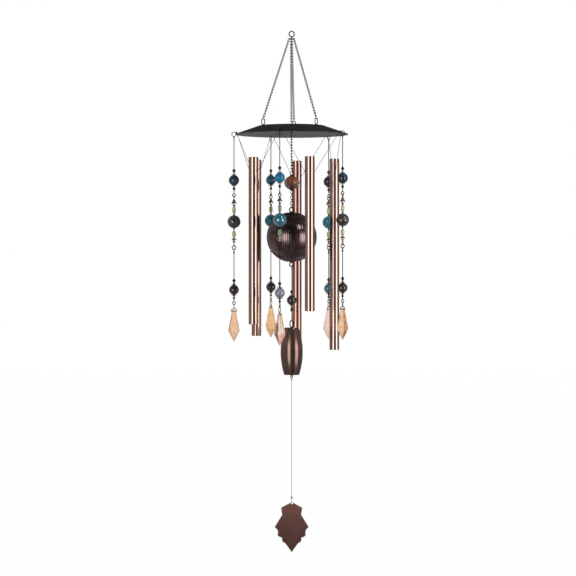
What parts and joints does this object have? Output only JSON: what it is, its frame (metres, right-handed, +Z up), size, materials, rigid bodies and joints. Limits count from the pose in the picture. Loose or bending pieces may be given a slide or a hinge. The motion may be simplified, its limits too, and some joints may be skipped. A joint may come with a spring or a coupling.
{
  "type": "wind chime",
  "caption": "Hanging wind chime: a shallow round metal canopy on chains with tuned tubes, bead strands with faceted drops, a ball striker, a barrel weight and a flat wind sail.",
  "frame": {"origin": "centre of the eye of the hanging ring, at the top", "axes": "+Z up along the hanging line, +X to the viewer's right, -Y towards the viewer"},
  "size_m": [0.2357, 0.2411, 1.0178],
  "materials": {
    "black_wire": "satin black",
    "canopy_black": "satin charcoal with a grey underside",
    "amber": "cognac brown, darker below, polished",
    "ball_bronze": "glossy brown-black bronze, fluted",
    "barrel_bronze": "glossy dark bronze",
    "sail_copper": "satin copper brown",
    "cord": "braided",
    "tube_bronze": "polished brown bronze",
    "findings": "antiqued, with black wire",
    "navy_bead": "marbled",
    "turquoise_bead": "marbled",
    "violet_bead": "marbled",
    "teal_bead": "marbled, dark below",
    "charcoal_beads": "pearl grey swirls, with yellow-green glass either side",
    "teal_beads": "iridescent, with yellow-green glass either side",
    "maroon_bead": "marbled",
    "lavender_bead": "marbled",
    "amber_crystal": "clear, faceted",
    "pink_crystal": "clear, faceted"
  },
  "bodies": {
    "hanger": {"hang_ring": "black_wire"},
    "gather": {"gather_link": "black_wire"},
    "canopy": {"canopy_chains": "black_wire", "canopy_rings": "black_wire", "canopy_dish": "canopy_black"},
    "clapper": {"clapper_chain": "black_wire"},
    "amber": {"amber_bead": "amber", "amber_chain": "black_wire"},
    "striker": {"striker_ball": "ball_bronze", "ball_eye_rod": "black_wire"},
    "tail": {"tail_cord": "cord"},
    "barrel": {"barrel_weight": "barrel_bronze", "barrel_eye_rod": "black_wire"},
    "sail_line": {"sail_cord": "cord"},
    "sail": {"wind_sail": "sail_copper"},
    "sling_a": {"sling_a": "cord"},
    "tube_a": {"tube_a": "tube_bronze"},
    "sling_b": {"sling_b": "cord"},
    "tube_b": {"tube_b": "tube_bronze"},
    "sling_c": {"sling_c": "cord"},
    "tube_c": {"tube_c": "tube_bronze"},
    "sling_d": {"sling_d": "cord"},
    "tube_d": {"tube_d": "tube_bronze"},
    "sling_e": {"sling_e": "cord"},
    "tube_e": {"tube_e": "tube_bronze"},
    "strand_left_upper": {"strand_left_upper_findings": "findings", "strand_left_upper_bead": "navy_bead"},
    "strand_left_middle": {"strand_left_middle_findings": "findings", "strand_left_middle_beads": "charcoal_beads"},
    "strand_left_lower": {"strand_left_lower_findings": "findings", "strand_left_lower_bead": "maroon_bead"},
    "strand_left_drop": {"strand_left_drop": "amber_crystal"},
    "strand_front_upper": {"strand_front_upper_findings": "findings", "strand_front_upper_bead": "turquoise_bead"},
    "strand_front_middle": {"strand_front_middle_findings": "findings", "strand_front_middle_beads": "teal_beads"},
    "strand_front_lower": {"strand_front_lower_findings": "findings", "strand_front_lower_bead": "lavender_bead"},
    "strand_front_drop": {"strand_front_drop": "pink_crystal"},
    "strand_right_upper": {"strand_right_upper_findings": "findings", "strand_right_upper_bead": "navy_bead"},
    "strand_right_middle": {"strand_right_middle_findings": "findings", "strand_right_middle_beads": "charcoal_beads"},
    "strand_right_lower": {"strand_right_lower_findings": "findings", "strand_right_lower_bead": "maroon_bead"},
    "strand_right_drop": {"strand_right_drop": "amber_crystal"},
    "strand_rear_right_upper": {"strand_rear_right_upper_findings": "findings", "strand_rear_right_upper_bead": "violet_bead"},
    "strand_rear_right_middle": {"strand_rear_right_middle_findings": "findings", "strand_rear_right_middle_beads": "teal_beads"},
    "strand_rear_right_lower": {"strand_rear_right_lower_findings": "findings", "strand_rear_right_lower_bead": "teal_bead"},
    "strand_rear_right_drop": {"strand_rear_right_drop": "pink_crystal"},
    "strand_rear_left_upper": {"strand_rear_left_upper_findings": "findings", "strand_rear_left_upper_bead": "teal_bead"},
    "strand_rear_left_middle": {"strand_rear_left_middle_findings": "findings", "strand_rear_left_middle_beads": "teal_beads"},
    "strand_rear_left_lower": {"strand_rear_left_lower_findings": "findings", "strand_rear_left_lower_bead": "navy_bead"},
    "strand_rear_left_drop": {"strand_rear_left_drop": "amber_crystal"}
  },
  "joints": [
    {"name": "gather_swing", "type": "hinge", "parent": "hanger", "child": "gather", "pos_m": [0, 0, -0.00686], "axis": [1, 0, 0], "range_deg": [-10, 10]},
    {"name": "canopy_swing", "type": "hinge", "parent": "gather", "child": "canopy", "pos_m": [0, 0, -0.0099], "axis": [0, -1, 0], "range_deg": [-9, 9]},
    {"name": "clapper_swing", "type": "hinge", "parent": "canopy", "child": "clapper", "pos_m": [-0.00044, 0, -0.18155], "axis": [0, -1, 0], "range_deg": [-6.5, 6.5]},
    {"name": "amber_swing", "type": "hinge", "parent": "clapper", "child": "amber", "pos_m": [0, 0, -0.26805], "axis": [1, 0, 0], "range_deg": [-5, 5]},
    {"name": "striker_swing", "type": "hinge", "parent": "amber", "child": "striker", "pos_m": [0, 0, -0.34015], "axis": [0, -1, 0], "range_deg": [-4, 4]},
    {"name": "tail_swing", "type": "hinge", "parent": "striker", "child": "tail", "pos_m": [0, 0, -0.4541], "axis": [1, 0, 0], "range_deg": [-6, 6]},
    {"name": "barrel_swing", "type": "hinge", "parent": "tail", "child": "barrel", "pos_m": [0, 0, -0.56125], "axis": [0, -1, 0], "range_deg": [-6, 6]},
    {"name": "sail_line_swing", "type": "hinge", "parent": "barrel", "child": "sail_line", "pos_m": [0, 0, -0.6695], "axis": [0, -1, 0], "range_deg": [-8, 8]},
    {"name": "sail_flap", "type": "hinge", "parent": "sail_line", "child": "sail", "pos_m": [0, 0, -0.9076], "axis": [1, 0, 0], "range_deg": [-30, 30]},
    {"name": "sling_a_swing", "type": "hinge", "parent": "canopy", "child": "sling_a", "pos_m": [-0.0657, -0.05978, -0.19488], "axis": [0.673, -0.7396, 0], "range_deg": [-12, 5]},
    {"name": "tube_a_swing", "type": "hinge", "parent": "sling_a", "child": "tube_a", "pos_m": [-0.07384, -0.05083, -0.27245], "axis": [0.673, -0.7396, 0], "range_deg": [-8, 5]},
    {"name": "sling_b_swing", "type": "hinge", "parent": "canopy", "child": "sling_b", "pos_m": [-0.07469, 0.04514, -0.19488], "axis": [-0.5173, -0.8558, 0], "range_deg": [-12, 5]},
    {"name": "tube_b_swing", "type": "hinge", "parent": "sling_b", "child": "tube_b", "pos_m": [-0.06941, 0.05387, -0.27245], "axis": [-0.5173, -0.8558, 0], "range_deg": [-8, 5]},
    {"name": "sling_c_swing", "type": "hinge", "parent": "canopy", "child": "sling_c", "pos_m": [0.03655, -0.08096, -0.19488], "axis": [0.9114, 0.4115, 0], "range_deg": [-12, 5]},
    {"name": "tube_c_swing", "type": "hinge", "parent": "sling_c", "child": "tube_c", "pos_m": [0.03455, -0.08186, -0.27245], "axis": [0.9114, 0.4115, 0], "range_deg": [-8, 5]},
    {"name": "sling_d_swing", "type": "hinge", "parent": "canopy", "child": "sling_d", "pos_m": [0.01563, 0.09244, -0.19488], "axis": [0.986, -0.1668, 0], "range_deg": [-5, 12]},
    {"name": "tube_d_swing", "type": "hinge", "parent": "sling_d", "child": "tube_d", "pos_m": [0.01031, 0.09334, -0.27245], "axis": [0.986, -0.1668, 0], "range_deg": [-5, 8]},
    {"name": "sling_e_swing", "type": "hinge", "parent": "canopy", "child": "sling_e", "pos_m": [0.08367, 0.01453, -0.19488], "axis": [0.1711, -0.9853, 0], "range_deg": [-5, 12]},
    {"name": "tube_e_swing", "type": "hinge", "parent": "sling_e", "child": "tube_e", "pos_m": [0.08367, 0.01453, -0.27245], "axis": [0.1711, -0.9853, 0], "range_deg": [-5, 8]},
    {"name": "strand_left_upper_swing", "type": "hinge", "parent": "canopy", "child": "strand_left_upper", "pos_m": [-0.10824, -0.01195, -0.19541], "axis": [0.1097, -0.994, 0], "range_deg": [-15, 6]},
    {"name": "strand_left_middle_swing", "type": "hinge", "parent": "strand_left_upper", "child": "strand_left_middle", "pos_m": [-0.11242, -0.01241, -0.3179], "axis": [-0.994, -0.1097, 0], "range_deg": [-8, 8]},
    {"name": "strand_left_lower_swing", "type": "hinge", "parent": "strand_left_middle", "child": "strand_left_lower", "pos_m": [-0.11242, -0.01241, -0.4152], "axis": [-0.1097, 0.994, 0], "range_deg": [-8, 12]},
    {"name": "strand_left_drop_swing", "type": "hinge", "parent": "strand_left_lower", "child": "strand_left_drop", "pos_m": [-0.11242, -0.01241, -0.5234], "axis": [0.1097, -0.994, 0], "range_deg": [-18, 12]},
    {"name": "strand_front_upper_swing", "type": "hinge", "parent": "canopy", "child": "strand_front_upper", "pos_m": [-0.02208, -0.10664, -0.19541], "axis": [0.9792, -0.2028, 0], "range_deg": [-15, 6]},
    {"name": "strand_front_middle_swing", "type": "hinge", "parent": "strand_front_upper", "child": "strand_front_middle", "pos_m": [-0.02294, -0.11075, -0.3169], "axis": [-0.2028, -0.9792, 0], "range_deg": [-8, 8]},
    {"name": "strand_front_lower_swing", "type": "hinge", "parent": "strand_front_middle", "child": "strand_front_lower", "pos_m": [-0.02294, -0.11075, -0.4142], "axis": [-0.9792, 0.2028, 0], "range_deg": [-8, 12]},
    {"name": "strand_front_drop_swing", "type": "hinge", "parent": "strand_front_lower", "child": "strand_front_drop", "pos_m": [-0.02294, -0.11075, -0.5294], "axis": [0.9792, -0.2028, 0], "range_deg": [-18, 12]},
    {"name": "strand_right_upper_swing", "type": "hinge", "parent": "canopy", "child": "strand_right_upper", "pos_m": [0.09459, -0.05396, -0.19541], "axis": [-0.4955, -0.8686, 0], "range_deg": [-6, 15]},
    {"name": "strand_right_middle_swing", "type": "hinge", "parent": "strand_right_upper", "child": "strand_right_middle", "pos_m": [0.09824, -0.05604, -0.3154], "axis": [0.8686, -0.4955, 0], "range_deg": [-8, 8]},
    {"name": "strand_right_lower_swing", "type": "hinge", "parent": "strand_right_middle", "child": "strand_right_lower", "pos_m": [0.09824, -0.05604, -0.4127], "axis": [0.4955, 0.8686, 0], "range_deg": [-12, 8]},
    {"name": "strand_right_drop_swing", "type": "hinge", "parent": "strand_right_lower", "child": "strand_right_drop", "pos_m": [0.09824, -0.05604, -0.5194], "axis": [-0.4955, -0.8686, 0], "range_deg": [-12, 18]},
    {"name": "strand_rear_right_upper_swing", "type": "hinge", "parent": "canopy", "child": "strand_rear_right_upper", "pos_m": [0.07087, 0.08268, -0.19541], "axis": [0.7593, -0.6508, 0], "range_deg": [-6, 15]},
    {"name": "strand_rear_right_middle_swing", "type": "hinge", "parent": "strand_rear_right_upper", "child": "strand_rear_right_middle", "pos_m": [0.0736, 0.08587, -0.3167], "axis": [0.6508, 0.7593, 0], "range_deg": [-8, 8]},
    {"name": "strand_rear_right_lower_swing", "type": "hinge", "parent": "strand_rear_right_middle", "child": "strand_rear_right_lower", "pos_m": [0.0736, 0.08587, -0.414], "axis": [-0.7593, 0.6508, 0], "range_deg": [-12, 8]},
    {"name": "strand_rear_right_drop_swing", "type": "hinge", "parent": "strand_rear_right_lower", "child": "strand_rear_right_drop", "pos_m": [0.0736, 0.08587, -0.5211], "axis": [0.7593, -0.6508, 0], "range_deg": [-12, 18]},
    {"name": "strand_rear_left_upper_swing", "type": "hinge", "parent": "canopy", "child": "strand_rear_left_upper", "pos_m": [-0.03973, 0.10139, -0.19541], "axis": [0.9311, 0.3649, 0], "range_deg": [-6, 15]},
    {"name": "strand_rear_left_middle_swing", "type": "hinge", "parent": "strand_rear_left_upper", "child": "strand_rear_left_middle", "pos_m": [-0.04127, 0.1053, -0.3127], "axis": [-0.3649, 0.9311, 0], "range_deg": [-8, 8]},
    {"name": "strand_rear_left_lower_swing", "type": "hinge", "parent": "strand_rear_left_middle", "child": "strand_rear_left_lower", "pos_m": [-0.04127, 0.1053, -0.41], "axis": [-0.9311, -0.3649, 0], "range_deg": [-12, 8]},
    {"name": "strand_rear_left_drop_swing", "type": "hinge", "parent": "strand_rear_left_lower", "child": "strand_rear_left_drop", "pos_m": [-0.04127, 0.1053, -0.5179], "axis": [0.9311, 0.3649, 0], "range_deg": [-12, 18]}
  ]
}
